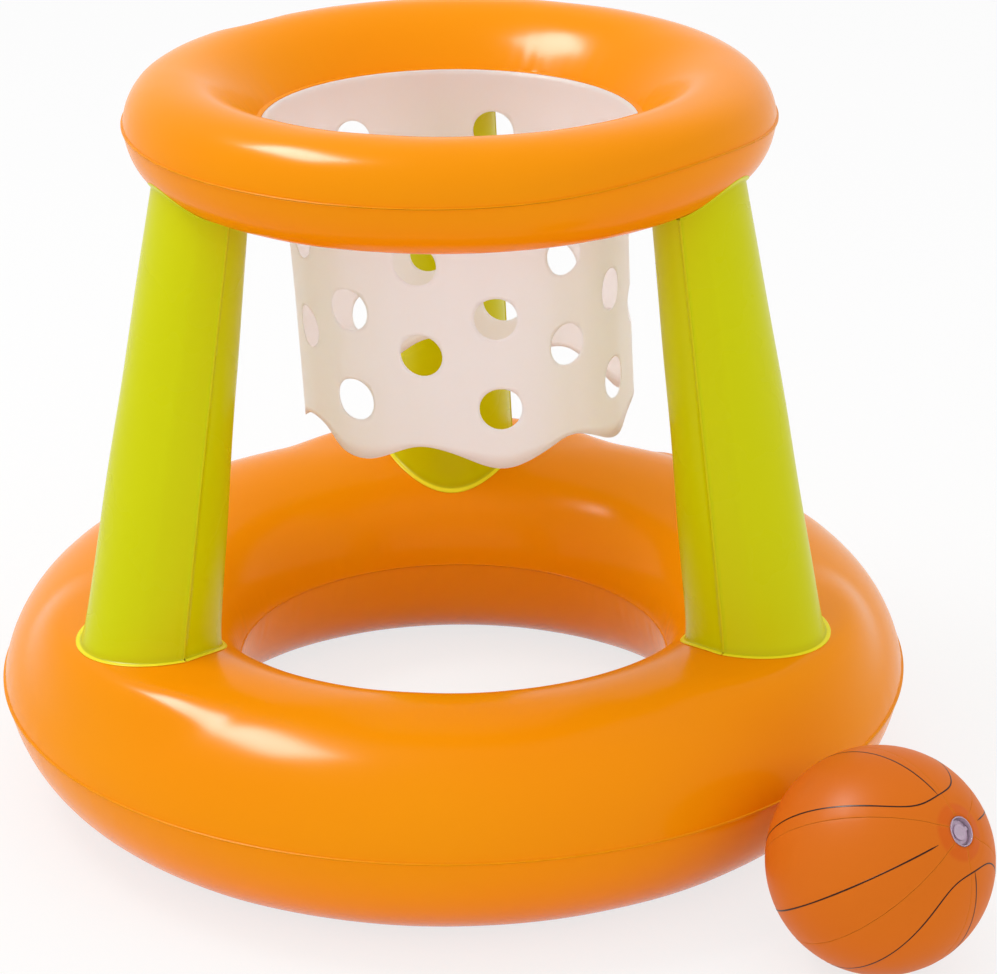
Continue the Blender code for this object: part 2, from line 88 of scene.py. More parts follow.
# Studio
# A wide pale floor and a white surround, with one long softbox high on the left.
# Both show plain white to the camera and in gloss, and the floor keeps the shadow.
floor_radius, floor_sides = 9.0, 96
floor_white = (0.94, 0.94, 0.94, 1.0)
floor_roughness, floor_level, floor_glow = 0.9, 0.1, 0.76
surround_light = 0.87
softbox_way = Vector((-0.51, 0.02, 0.86)).normalized()
softbox_long_way = Vector((-0.16, 0.97, -0.19))
softbox_distance, softbox_length, softbox_width = 2.6, 1.05, 0.70
softbox_aim_height = 0.4
softbox_power, glint_power = 16.0, 175.0


def seen_directly(nodes, link):
    """A mask of the rays that look straight at a surface, or by gloss or through clear film."""
    path = nodes.new("ShaderNodeLightPath")
    mask = path.outputs["Is Camera Ray"]
    for name in ("Is Glossy Ray", "Is Transmission Ray"):
        either = nodes.new("ShaderNodeMath")
        either.operation = "MAXIMUM"
        link(mask, either.inputs[0])
        link(path.outputs[name], either.inputs[1])
        mask = either.outputs[0]
    return mask


floor_turns = np.linspace(0, 2 * np.pi, floor_sides, endpoint=False)
floor_edge = np.stack([np.cos(floor_turns), np.sin(floor_turns), 0 * floor_turns], axis=-1)
floor_mesh = bpy.data.meshes.new("studio_floor")
floor_mesh.from_pydata((floor_radius * floor_edge).tolist(), [], [list(range(floor_sides))])
studio_floor = bpy.data.objects.new("studio_floor", floor_mesh)
bpy.context.collection.objects.link(studio_floor)

floor_paint = bpy.data.materials.new("floor_paint")
floor_paint.use_nodes = True
paint_nodes, paint_link = floor_paint.node_tree.nodes, floor_paint.node_tree.links.new
paint_shader = paint_nodes["Principled BSDF"]
paint_shader.inputs["Base Color"].default_value = floor_white
paint_shader.inputs["Roughness"].default_value = floor_roughness
paint_shader.inputs["Specular IOR Level"].default_value = floor_level
paint_white = paint_nodes.new("ShaderNodeEmission")
paint_share = paint_nodes.new("ShaderNodeMath")
paint_share.operation = "MULTIPLY"
paint_share.inputs[1].default_value = floor_glow
paint_mix = paint_nodes.new("ShaderNodeMixShader")
paint_link(seen_directly(paint_nodes, paint_link), paint_share.inputs[0])
paint_link(paint_share.outputs[0], paint_mix.inputs[0])
paint_link(paint_shader.outputs[0], paint_mix.inputs[1])
paint_link(paint_white.outputs[0], paint_mix.inputs[2])
paint_link(paint_mix.outputs[0], paint_nodes["Material Output"].inputs[0])
floor_mesh.materials.append(floor_paint)

surround = bpy.data.worlds.new("white_surround")
surround.use_nodes = True
bpy.context.scene.world = surround
air_nodes, air_link = surround.node_tree.nodes, surround.node_tree.links.new
air_light = air_nodes["Background"]
air_light.inputs["Color"].default_value = (1, 1, 1, 1)
air_light.inputs["Strength"].default_value = surround_light
air_seen = air_nodes.new("ShaderNodeBackground")
air_seen.inputs["Color"].default_value = (1, 1, 1, 1)
air_mix = air_nodes.new("ShaderNodeMixShader")
air_link(seen_directly(air_nodes, air_link), air_mix.inputs[0])
air_link(air_light.outputs[0], air_mix.inputs[1])
air_link(air_seen.outputs[0], air_mix.inputs[2])
air_link(air_mix.outputs[0], air_nodes["World Output"].inputs[0])

softbox_data = bpy.data.lights.new("softbox", "AREA")
softbox_data.shape = "RECTANGLE"
softbox_data.size, softbox_data.size_y = softbox_length, softbox_width
softbox_data.energy = softbox_power
softbox = bpy.data.objects.new("softbox", softbox_data)
bpy.context.collection.objects.link(softbox)
box_side = (softbox_long_way - softbox_long_way.project(softbox_way)).normalized()
box_axes = Matrix((box_side, softbox_way.cross(box_side), softbox_way)).transposed()
box_spot = Vector((hoop_x, hoop_y, softbox_aim_height)) + softbox_way * softbox_distance
softbox.matrix_world = Matrix.Translation(box_spot) @ box_axes.to_4x4()

# The softbox's bright cloth adds to its glint in glossy film, and not to its light.
glint = bpy.data.objects.new("softbox_cloth", softbox_data.copy())
glint.data.energy = glint_power
glint.visible_diffuse = False
glint.matrix_world = softbox.matrix_world
bpy.context.collection.objects.link(glint)


# Base ring
# Two flat rings of orange vinyl film, welded together along both edges and blown up.
# The film puckers beside its welds, lies flat where it rests, and has a valve at the back.
orange_film = (0.960, 0.335, 0.001)
# The deeper orange serves the film's random blotches, and also paints shade under the crown of each
# ring's lower film.
orange_blotch_and_shade = (0.955, 0.225, 0.001)
orange_weld = (0.955, 0.345, 0.002)
film_wall, film_clearance = 0.0005, 0.0003
seam_pinch = 0.99
seam_edge = math.sqrt(1 - seam_pinch**2)
seam_limit = math.asin(seam_pinch)
leg_azimuths = {"rear": 90.0, "left": 210.0, "right": 330.0}

# A ring's sizes are its middle radius, its reach out and in from there, the level of its
# seam plane, and how far its film rises over (1) and under (-1) that plane. Then come the
# form of its crown, the drift of its seams, how far it stands aside, its tilt, its sag at
# the valve, the flat that it rests on, the widths of its outer and inner weld lips and the
# waves of its puckers. Last are the radii of the valve's welded disc and of the film drawn
# in around it, the azimuths of the feet on it, and the radius at which the legs are welded.
base_middle = 0.2465
base_sizes = {
    "middle": base_middle, "reach": 0.0870, "level": 0.0834, "rises": {1: 0.0730, -1: 0.0840},
    "inner_reach": 0.0870, "inner_pinch": 0.997, "inner_fall": 0.5, "shoulder": 2.0,
    "outer_shift": 0.0, "hump": 0.0, "inner_drop": 0.0, "aside": 0.0, "tilt": 0.0, "valve_sag": 0.0,
    "flat": 0.0006, "edges": (0.0013, 0.0006), "puckers": (61, 83, 107), "disc": (0.0130, 0.0360),
    "feet": tuple(leg_azimuths.values()), "leg_radius": base_middle,
}
base_columns, base_rows = 640, 44
foot_calm, foot_calm_fade = 0.060, 0.025
foot_place_reach, foot_place_end, foot_place_share = 0.0540, 0.0820, 0.9
foot_place_length_share = 0.6
swell_height, lip_wave = 0.00030, 0.00010
pucker_reach, outer_pucker, inner_pucker = 0.006, 0.00012, 0.00016
# How steeply the painted shade under a lower film falls off towards its outer and its inner weld.
outer_underside_shade_power, inner_underside_shade_power = 2.0, 5.0
hump_azimuth, hump_width = math.radians(318), math.radians(27)
sag_azimuth, sag_width = math.radians(135), math.radians(34)
hole_radius, window_rows, window_columns = 0.0104, 9, 20
hole_rings, hole_ring_power = 12, 1.4
seam_calm, disc_edge_fade = 0.18, 0.0100
cup_flush = 0.0002
plug_reach, plug_hinge_level = 0.0075, -0.0022
landing_tries = 6
joints = {joint["name"]: joint for joint in frame["joints"]}
blotch_scale, patch_scale, grain_scale, ripple_scale = 5.0, 14.0, 900.0, 45.0
patch_depth, weld_roughness = 0.14, 0.08
bump_depth, grain_share, ripple_share = 0.0002, 0.3, 0.6
glow_reach = 0.004


def film_group():
    """A shader group for vinyl film: blotches of a deeper tone, patchy gloss and fine grain.

    The weld and deep attributes say where the film is welded and where it takes the deep
    colour. On the ball that is a real deeper tone; on the rings' lower films and at the legs'
    welded ends it is painted shade."""
    tree = bpy.data.node_groups.new("vinyl_film", "ShaderNodeTree")
    sockets = tree.interface
    for name, kind, value in (
        ("Colour", "NodeSocketColor", (0.8, 0.8, 0.8, 1)),
        ("Deep tone and painted shade", "NodeSocketColor", (0.7, 0.7, 0.7, 1)),
        ("Weld colour", "NodeSocketColor", (0.9, 0.9, 0.9, 1)),
        ("Blotch", "NodeSocketFloat", 0.5),
        ("Gloss", "NodeSocketFloat", 0.3),
        ("Grain", "NodeSocketFloat", 0.1),
    ):
        sockets.new_socket(name, in_out="INPUT", socket_type=kind).default_value = value
    sockets.new_socket("Colour", in_out="OUTPUT", socket_type="NodeSocketColor")
    sockets.new_socket("Roughness", in_out="OUTPUT", socket_type="NodeSocketFloat")
    sockets.new_socket("Normal", in_out="OUTPUT", socket_type="NodeSocketVector")
    nodes, link = tree.nodes, tree.links.new
    inside, outside = nodes.new("NodeGroupInput"), nodes.new("NodeGroupOutput")
    place = nodes.new("ShaderNodeTexCoord").outputs["Object"]

    def noise(scale, detail):
        made = nodes.new("ShaderNodeTexNoise")
        made.inputs["Scale"].default_value = scale
        made.inputs["Detail"].default_value = detail
        link(place, made.inputs["Vector"])
        return made.outputs["Fac"]

    def reckon(operation, first, second):
        made = nodes.new("ShaderNodeMath")
        made.operation = operation
        for socket, value in zip(made.inputs, (first, second)):
            if isinstance(value, float):
                socket.default_value = value
            else:
                link(value, socket)
        return made.outputs[0]

    def mixed(share, first, second):
        made = nodes.new("ShaderNodeMix")
        made.data_type = "RGBA"
        link(share, made.inputs[0])
        link(first, made.inputs[6])
        link(second, made.inputs[7])
        return made.outputs[2]

    def mask(name):
        made = nodes.new("ShaderNodeAttribute")
        made.attribute_name = name
        return made.outputs["Fac"]

    weld = mask("weld")
    cloud = reckon("MULTIPLY", noise(blotch_scale, 2.0), inside.outputs["Blotch"])
    # The deep colour takes random blotches, the ball's real deeper tone, and painted shade on the
    # rings and legs.
    share = reckon("MINIMUM", reckon("ADD", cloud, mask("deep")), 1.0)
    toned = mixed(share, inside.outputs["Colour"], inside.outputs["Deep tone and painted shade"])
    link(mixed(weld, toned, inside.outputs["Weld colour"]), outside.inputs["Colour"])
    patchy = reckon("MULTIPLY", reckon("SUBTRACT", noise(patch_scale, 3.0), 0.5), patch_depth)
    worn = reckon("ADD", inside.outputs["Gloss"], patchy)
    rough = reckon("ADD", worn, reckon("MULTIPLY", weld, weld_roughness))
    link(rough, outside.inputs["Roughness"])
    bump = nodes.new("ShaderNodeBump")
    bump.inputs["Distance"].default_value = bump_depth
    link(inside.outputs["Grain"], bump.inputs["Strength"])
    grain = reckon("MULTIPLY", noise(grain_scale, 1.0), grain_share)
    ripples = reckon("MULTIPLY", noise(ripple_scale, 0.0), ripple_share)
    link(reckon("ADD", grain, ripples), bump.inputs["Height"])
    link(bump.outputs["Normal"], outside.inputs["Normal"])
    return tree


vinyl_film = film_group()


def film_material(name, colour, deep, weld, blotch, gloss, grain, glow=0.0, level=0.15):
    """A vinyl in one colour. With glow, light spreads in the film, most in its own hue."""
    material = bpy.data.materials.new(name)
    material.use_nodes = True
    nodes, link = material.node_tree.nodes, material.node_tree.links.new
    shader = nodes["Principled BSDF"]
    film = nodes.new("ShaderNodeGroup")
    film.node_tree = vinyl_film
    film.inputs["Colour"].default_value = (*colour, 1)
    film.inputs["Deep tone and painted shade"].default_value = (*deep, 1)
    film.inputs["Weld colour"].default_value = (*weld, 1)
    film.inputs["Blotch"].default_value = blotch
    film.inputs["Gloss"].default_value = gloss
    film.inputs["Grain"].default_value = grain
    link(film.outputs["Colour"], shader.inputs["Base Color"])
    link(film.outputs["Roughness"], shader.inputs["Roughness"])
    link(film.outputs["Normal"], shader.inputs["Normal"])
    shader.inputs["Specular IOR Level"].default_value = level
    shader.inputs["Subsurface Weight"].default_value = glow
    shader.inputs["Subsurface Radius"].default_value = colour
    shader.inputs["Subsurface Scale"].default_value = glow_reach
    return material


def cells(rows, columns, closed):
    """The corner numbers of every cell of a grid, which may close on itself sideways."""
    index = np.arange(rows * columns).reshape(rows, columns)
    if closed:
        index = np.column_stack([index, index[:, 0]])
    corners = [index[:-1, :-1], index[:-1, 1:], index[1:, 1:], index[1:, :-1]]
    return np.stack(corners, axis=-1)


def film(name, points, faces, masks, material, body, slot, replaced, wall=film_wall, offset=-1.0):
    """A film through these points, riding on its body, with its wall inwards.

    At an offset of zero the wall lies to both sides of the points instead. A mask is a named
    value at each point, read by the film's material."""
    mesh = bpy.data.meshes.new(name)
    mesh.from_pydata(points.reshape(-1, 3).tolist(), [], faces.reshape(-1, 4).tolist())
    for mask, values in masks.items():
        layer = mesh.attributes.new(mask, "FLOAT", "POINT")
        layer.data.foreach_set("value", np.asarray(values, np.float32).ravel())
    mesh.materials.append(material)
    mesh.shade_smooth()
    piece = bpy.data.objects.new(name, mesh)
    bpy.context.collection.objects.link(piece)
    thick = piece.modifiers.new("wall", "SOLIDIFY")
    thick.thickness = wall
    thick.offset = offset
    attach(piece, body)
    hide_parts(*replaced)
    return piece


def eased(share):
    """A share from 0 to 1, eased in and out: three times its square less twice its cube."""
    share = np.clip(share, 0, 1)
    return share * share * (3 - 2 * share)


def swelling(angle, azimuth, width):
    """1 at an azimuth, dying out smoothly to both sides of it over the width."""
    off = (angle - azimuth + np.pi) % (2 * np.pi) - np.pi
    return np.exp(-((off / width) ** 2))


def way_across(radius, sizes):
    """How far from a ring's middle a radius lies: 1 at the outer seam, -1 at the inner one."""
    out = radius - sizes["middle"]
    return np.clip(np.where(out > 0, out / sizes["reach"], out / sizes["inner_reach"]), -1, 1)


def crown(radius, side, sizes):
    """How far a ring's film rises from its seam plane: an ellipse, cut short of both ends.

    Outside the middle it may be a fuller superellipse. Inside it the film may fall gently."""
    across = way_across(radius, sizes)

    def height(share):
        """1 at the middle, least at a seam, by the share of the way to it."""
        fuller = (1 - (seam_pinch * share) ** sizes["shoulder"]) ** (1 / sizes["shoulder"])
        falling = (1 - (sizes["inner_pinch"] * share) ** 2) ** sizes["inner_fall"]
        return np.where(across > 0, fuller, falling)

    edge = height(1.0)
    return sizes["rises"][side] * (height(np.abs(across)) - edge) / (1 - edge)


def seam_shift(radius, angle, sizes):
    """How far a ring's film is drawn off by its seams: none at the crown, all at a seam.

    The outer weld rides up in one smooth hump round the ring, and the net draws the inner
    weld down."""
    across = way_across(radius, sizes)
    outer = sizes["outer_shift"] + sizes["hump"] * swelling(angle, hump_azimuth, hump_width)
    return np.where(across > 0, outer, -sizes["inner_drop"]) * across**2


def ring_middle(sizes):
    """The middle of a ring's seam plane, a little aside of the hoop's own."""
    return np.array([hoop_x + sizes["aside"], hoop_y, sizes["level"]])


def placed(radius, angle, height, sizes):
    """Points of a ring by radius, angle and height over its seam plane, tilted with it."""
    x, y = radius * np.cos(angle), radius * np.sin(angle)
    return np.stack([x, y, height + sizes["tilt"] * y], axis=-1) + ring_middle(sizes)


def ripple(angle, counts, phases):
    """Uneven waves round a ring: the mean of sines whose counts share no common factor."""
    return sum(np.sin(n * angle + p) for n, p in zip(counts, phases)) / len(counts)


def beside(way, width):
    """0 on a weld, 1 at one width away from it, and dying out as an exponential beyond."""
    return way / width * np.exp(1 - way / width)


def foot_lift(x, y, sizes):
    """How far the feet draw the upper film up, on the ring's outer half.

    Under a foot the film lies almost level with the crown, and it falls to the seam beyond."""
    radius = np.hypot(x, y)
    weight = 0 * radius
    for azimuth in np.radians(sizes["feet"]):
        out = x * np.cos(azimuth) + y * np.sin(azimuth) - sizes["middle"]
        along = y * np.cos(azimuth) - x * np.sin(azimuth)
        from_foot = np.hypot(out, foot_place_length_share * along)
        share = (foot_place_end - from_foot) / (foot_place_end - foot_place_reach)
        weight = np.maximum(weight, eased(share))
    weight = np.where(radius > sizes["middle"], weight, 0)
    return foot_place_share * weight * (sizes["rises"][1] - crown(radius, 1, sizes))


def calm_at_legs(x, y, radius):
    """0 around the middle of each leg's welded end, where the film is held smooth.

    Beyond a set distance it grows evenly to 1, over the fade."""
    azimuths = np.radians(list(leg_azimuths.values()))
    off = [np.hypot(x - radius * np.cos(a), y - radius * np.sin(a)) for a in azimuths]
    return np.clip((np.minimum.reduce(off) - foot_calm) / foot_calm_fade, 0, 1)


def ring_face(turn, angle, side, sizes):
    """The outer face of an annular skin, at a turn across it and an angle round it.

    The radius is the middle plus the reach times the turn's sine, and the height is that of
    the crown, drawn off by the seams and sagging a little at the rim's valve. Puckers stand
    square to the face beside them."""
    rise = sizes["rises"][side]
    across = np.sin(turn) / seam_pinch
    reach = np.where(across > 0, sizes["reach"], sizes["inner_reach"])
    radius = sizes["middle"] + reach * across
    shift = seam_shift(radius, angle, sizes)
    height = crown(radius, side, sizes)
    height = height + (film_wall + film_clearance / 2) * (1 - height / rise)
    if side > 0:
        height = height * (1 - sizes["valve_sag"] * swelling(angle, sag_azimuth, sag_width))
        height = height + foot_lift(radius * np.cos(angle), radius * np.sin(angle), sizes)
    waves = ripple(angle + 0.4 * turn, (3, 7, 11, 17), (0.3, 1.9, 4, 2.2))
    swell = swell_height * np.cos(turn) * waves
    outer = beside((seam_limit - turn) * sizes["reach"], pucker_reach)
    inner = beside((seam_limit + turn) * sizes["reach"], pucker_reach)
    pucker = outer_pucker * outer * ripple(angle, sizes["puckers"], (0.5, 2.6, 4.4))
    pucker = pucker + inner_pucker * inner * ripple(angle, sizes["puckers"], (3.7, 0.9, 5.5))
    calm = calm_at_legs(radius * np.cos(angle), radius * np.sin(angle), sizes["leg_radius"])
    lift = (swell + pucker) * calm
    radius = radius + lift * np.sin(turn)
    height = height + lift * np.cos(turn)
    if side < 0:
        height = np.minimum(height, rise - sizes["flat"])
    return placed(radius, angle, side * height + shift, sizes)


def ring_grid(side, sizes, columns, rows):
    """A whole annular skin from its outer weld to its inner one, and two masks of it.

    The first is of its outer weld. The second is painted shade for a lower film: 1 under its
    crown and falling to 0 at both welds. Two more rows at each edge make the welded lip, which
    waves a little."""
    angle = np.linspace(0, 2 * np.pi, columns, endpoint=False)[None, :]
    turn = seam_limit * np.sin(np.linspace(np.pi / 2, -np.pi / 2, rows))[:, None]
    face = ring_face(turn, angle, side, sizes)
    lips = []
    for edge, sign, row in zip(sizes["edges"], (1, -1), (0, -1)):
        share = np.array([1.0, 0.5])[:, None]
        reach = sizes["reach"] if sign > 0 else sizes["inner_reach"]
        radius = sizes["middle"] + sign * (reach + edge * share) + 0 * angle
        wave = lip_wave * ripple(angle, sizes["puckers"], (1.5, 3.6, 0.4)) * share
        height = side * (film_wall + film_clearance / 2) + wave + seam_shift(radius, angle, sizes)
        lips.append(placed(radius, angle, height, sizes)[::sign])
    weld = np.zeros((rows + 4, columns))
    weld[:3] = 1.0
    # Painted shade, strongest under the crown and none on the welded lips.
    steep = np.where(turn[:, 0] > 0, outer_underside_shade_power, inner_underside_shade_power)
    below = np.concatenate([[0, 0], np.cos(turn[:, 0]) ** steep, [0, 0]])
    return np.concatenate([lips[0], face, lips[1]]), weld, below[:, None] + 0 * weld


def valve_axes(prefix):
    """A valve's own axes as a matrix: Z out along its push and X towards its plug's strap."""
    out = Vector(joints[f"{prefix}_push"]["axis"]).normalized()
    hinge = joints[f"{prefix}_plug_strap"]
    side = Vector(hinge["axis"]).normalized()
    strap = side.cross(out)
    middle = Vector(hinge["pos_m"]) - strap * plug_reach - out * plug_hinge_level
    turn = Matrix((strap, side, out)).transposed().to_4x4()
    return np.array(Matrix.Translation(middle) @ turn)


def carried(points, axes):
    """Points given along a piece's own axes, in the row frame."""
    return points @ axes[:3, :3].T + axes[:3, 3]


def seen_from(points, axes):
    """Points of the row frame, given along a piece's own axes."""
    return (points - axes[:3, 3]) @ axes[:3, :3]


def flattened(points, axes, sizes):
    """Draws a ring's film flat over a valve's stiff welded disc, fading out around it.

    It is drawn in from above over the whole fade, and out from below only close to the
    disc. The seams stay where they are."""
    disc_radius, disc_fade = sizes["disc"]
    off = points - ring_middle(sizes)
    from_seam = 1 - np.abs(way_across(np.hypot(off[..., 0], off[..., 1]), sizes))
    local = seen_from(points, axes)
    away = np.hypot(local[..., 0], local[..., 1])
    near = np.abs(local[..., 2]) < disc_fade
    fade = np.where(local[..., 2] > 0, disc_fade - disc_radius, disc_edge_fade)
    flat = eased(from_seam / seam_calm) * np.where(near, 1 - eased((away - disc_radius) / fade), 0)
    local[..., 2] = (1 - flat) * local[..., 2] - flat * cup_flush
    return carried(local, axes)


def film_over(flat, axes, sizes):
    """The ring film's points that lie straight over these points of a valve's plane."""
    aimed = np.concatenate([flat, 0 * flat[..., :1]], axis=-1)
    for _ in range(landing_tries):
        spot = carried(aimed, axes) - ring_middle(sizes)
        out = (np.hypot(spot[..., 0], spot[..., 1]) - sizes["middle"]) / sizes["reach"]
        turn = np.arctan2(out * seam_pinch, spot[..., 2] / sizes["rises"][1])
        found = ring_face(turn, np.arctan2(spot[..., 1], spot[..., 0]), 1, sizes)
        aimed[..., :2] += flat - seen_from(found, axes)[..., :2]
    return found


def valve_opening(points, weld, sizes, axes):
    """Cuts a round hole for a valve in a ring's upper film.

    A window of cells is taken out of the grid. Rings of points run from its edge to the
    hole, each blended between the two and set on the film."""
    rows, columns = weld.shape
    local = seen_from(points, axes)
    off = np.hypot(local[..., 0], local[..., 1])
    off = np.where(np.abs(local[..., 2]) < sizes["disc"][1], off, np.inf)
    row, column = np.unravel_index(np.argmin(off), off.shape)
    top, low = row - window_rows, row + window_rows
    left, right = column - window_columns, column + window_columns
    kept = np.ones((rows - 1, columns), bool)
    kept[top:low, left:right] = False
    across, down = np.arange(left, right), np.arange(top, low)
    edge = np.concatenate([
        top * columns + across, down * columns + right,
        low * columns + across[::-1] + 1, (down[::-1] + 1) * columns + left,
    ])
    outline = seen_from(points.reshape(-1, 3)[edge], axes)[:, :2]
    hole = outline * hole_radius / np.linalg.norm(outline, axis=1)[:, None]
    share = np.linspace(1, 0, hole_rings + 1)[1:, None, None] ** hole_ring_power
    rings = film_over(hole + (outline - hole) * share, axes, sizes)
    new = points[..., 0].size + np.arange(rings[..., 0].size)
    number = np.vstack([edge, new.reshape(-1, len(edge))])
    around = number.ravel()[cells(*number.shape, True)].reshape(-1, 4)
    faces = np.concatenate([cells(rows, columns, True)[kept], around])
    every = np.concatenate([points.reshape(-1, 3), rings.reshape(-1, 3)])
    weld = np.concatenate([weld.ravel(), np.zeros(rings[..., 0].size)])
    return flattened(every, axes, sizes), weld, faces


def ring_films(name, sizes, columns, rows, material, deep):
    """Both films of an air ring, the upper one with its valve's hole."""
    for side, which in ((1, "upper"), (-1, "lower")):
        points, weld, below = (part[::side] for part in ring_grid(side, sizes, columns, rows))
        # A lower film is painted a deeper orange under its crown by the deep share: painted shade.
        faces, underside_shade = cells(*weld.shape, True), deep * below
        if side > 0:
            valve = valve_axes(f"{name.split('_')[0]}_valve")
            points, weld, faces = valve_opening(points, weld, sizes, valve)
            underside_shade = 0 * weld
        film(
            f"{name}_{which}_film", points, faces, {"weld": weld, "deep": underside_shade},
            material, "hoop", "orange_vinyl", [f"{name}_{which}_skin"],
        )


base_orange = film_material(
    "base_orange", orange_film, orange_blotch_and_shade, orange_weld,
    blotch=0.5, gloss=0.20, grain=0.08, level=0.07,
)
# 0.9 is the share of painted shade under the base ring's lower film.
ring_films("base_ring", base_sizes, base_columns, base_rows, base_orange, 0.9)


# Rim
# A smaller air ring, made as the base is. Its inner weld is wider, because it holds the net
# between its two films, and the legs are welded to it from below.
rim_sizes = {
    "middle": 0.1895, "reach": 0.0400, "level": 0.5020, "rises": {1: 0.0340, -1: 0.0420},
    "inner_reach": 0.0525, "inner_pinch": 0.999, "inner_fall": 1.0, "shoulder": 2.35,
    "outer_shift": -0.0020, "hump": 0.0095, "inner_drop": 0.0055, "aside": 0.0016, "tilt": -0.0140,
    "valve_sag": 0.070, "flat": 0.0, "edges": (0.0012, 0.0038), "puckers": (47, 67, 79),
    "disc": (0.0112, 0.0400), "feet": (), "leg_radius": 0.1950,
}
rim_columns, rim_rows = 520, 44

# 0.8 is the share of painted shade under the rim's lower film.
ring_films("rim", rim_sizes, rim_columns, rim_rows, base_orange, 0.8)


# Legs
# Three tapered lime tubes, each of an outer and an inner panel welded along both sides.
# Their ends flare a little, and are welded flat onto the base ring and the rim.
lime_film = (0.660, 0.690, 0.0)
# The darker green serves the film's random blotches, and also paints shade just above the feet and
# just under the rim.
lime_blotch_and_shade = (0.600, 0.560, 0.0)
lime_weld = (0.950, 0.860, 0.02)
foot_half_width = 0.0490

# A leg's foot stands in by its inset. Its top lies at its own radius, swung round the hoop
# and twisted by degrees, and is half as deep and half as wide as its last two values say.
leg_shapes = {
    "rear": {"inset": 0.009, "top": 0.1930, "swing": 0, "twist": 0, "deep": 0.0318, "wide": 0.0352},
    "left": {"inset": 0.0, "top": 0.1923, "swing": -3, "twist": 0, "deep": 0.0320, "wide": 0.0455},
    "right": {"inset": 0.0, "top": 0.1935, "swing": 3, "twist": 9, "deep": 0.0330, "wide": 0.0460},
}
foot_flare, foot_flare_height = 0.0018, 0.0070
leg_swell = 0.00022
fold_height, fold_width, fold_lean = 0.00055, 0.0022, 0.05
# The legs' film is painted darker green just above its foot weld and just under its top weld:
# painted shade, with its strength and reach at each end.
foot_shade, foot_shade_reach, top_shade, top_shade_reach = 0.9, 0.0035, 0.5, 0.01
even_share, end_share = 0.35, 0.65
foot_weld, top_weld, side_weld = 0.0034, 0.0022, 0.0006
leg_seat = film_wall + film_clearance
foot_level = base_sizes["level"] + base_sizes["rises"][1]
top_level = rim_sizes["level"] - rim_sizes["rises"][-1]
seam_gap = 0.00005
seam_offset = film_wall + seam_gap
leg_columns, leg_rows, end_tries = 44, 72, 8
end_row_shares = (1.0, 0.66, 0.33)
side_weld_share, foot_weld_share, top_weld_share = 0.4, 1.0, 0.3

# Each front leg's outer panel has one long fold, at this turn round its outline.
leg_folds = {("right", 1): -1.05, ("left", 1): 0.9}


def on_ring(flat, side):
    """The level at which a leg's welded end lies over a ring's film, at these flat points."""
    sizes = base_sizes if side > 0 else rim_sizes
    x, y = flat[..., 0] - sizes["aside"], flat[..., 1]
    radius = np.hypot(x, y)
    lift = foot_lift(x, y, sizes) if side > 0 else seam_shift(radius, np.arctan2(y, x), sizes)
    level = sizes["level"] + sizes["tilt"] * y + lift
    return level + side * (crown(radius, side, sizes) + leg_seat)


def leg_plan(level, above_foot, turn, side, leg):
    """A leg's outline at each level: half a tube, flattened into a seam at both sides.

    A point lies out from the leg's axis by the bulge times the half depth, and across it by
    the turn's sine times the half width. The axis leans in from the base to the rim, and
    swings and twists a little on its way."""
    shape, azimuth = leg_shapes[leg], math.radians(leg_azimuths[leg])
    fold = leg_folds.get((leg, side))
    up = (level - foot_level) / (top_level - foot_level)
    foot_radius = base_sizes["middle"] - shape["inset"]
    radius = foot_radius + (shape["top"] - foot_radius) * up
    way = azimuth + math.radians(shape["swing"]) * up
    axis = radius[..., None] * np.stack([np.cos(way), np.sin(way)], axis=-1)
    facing = azimuth + math.radians(shape["twist"]) * up
    out = np.stack([np.cos(facing), np.sin(facing)], axis=-1)
    along = np.stack([-np.sin(facing), np.cos(facing)], axis=-1)
    deep = foot_half_width + (shape["deep"] - foot_half_width) * up
    wide = foot_half_width + (shape["wide"] - foot_half_width) * up
    middle_share = np.sin(np.pi * np.clip(up, 0, 1))
    swell = np.sin(2 * turn + 14 * up + azimuth) + np.sin(5 * turn - 9 * up + 2 * azimuth)
    swell = leg_swell * swell * middle_share
    if fold is not None:
        off = (turn - fold - fold_lean * up) * deep
        swell = swell + fold_height * np.exp(-((off / fold_width) ** 2)) * middle_share**0.5
    bulge = (np.cos(turn) - seam_edge) / (1 - seam_edge)
    bend = foot_flare * np.exp(-above_foot / foot_flare_height) + swell * np.minimum(3 * bulge, 1)
    away = seam_offset * (1 - bulge) + bulge * (deep + bend)
    count = np.arange(len(turn))
    lip = side_weld * ((count == count[-1]) * 1.0 - (count == 0))
    beside_axis = np.sin(turn) / seam_pinch * (wide + bend) + lip
    return axis + (side * away)[..., None] * out + beside_axis[..., None] * along, axis


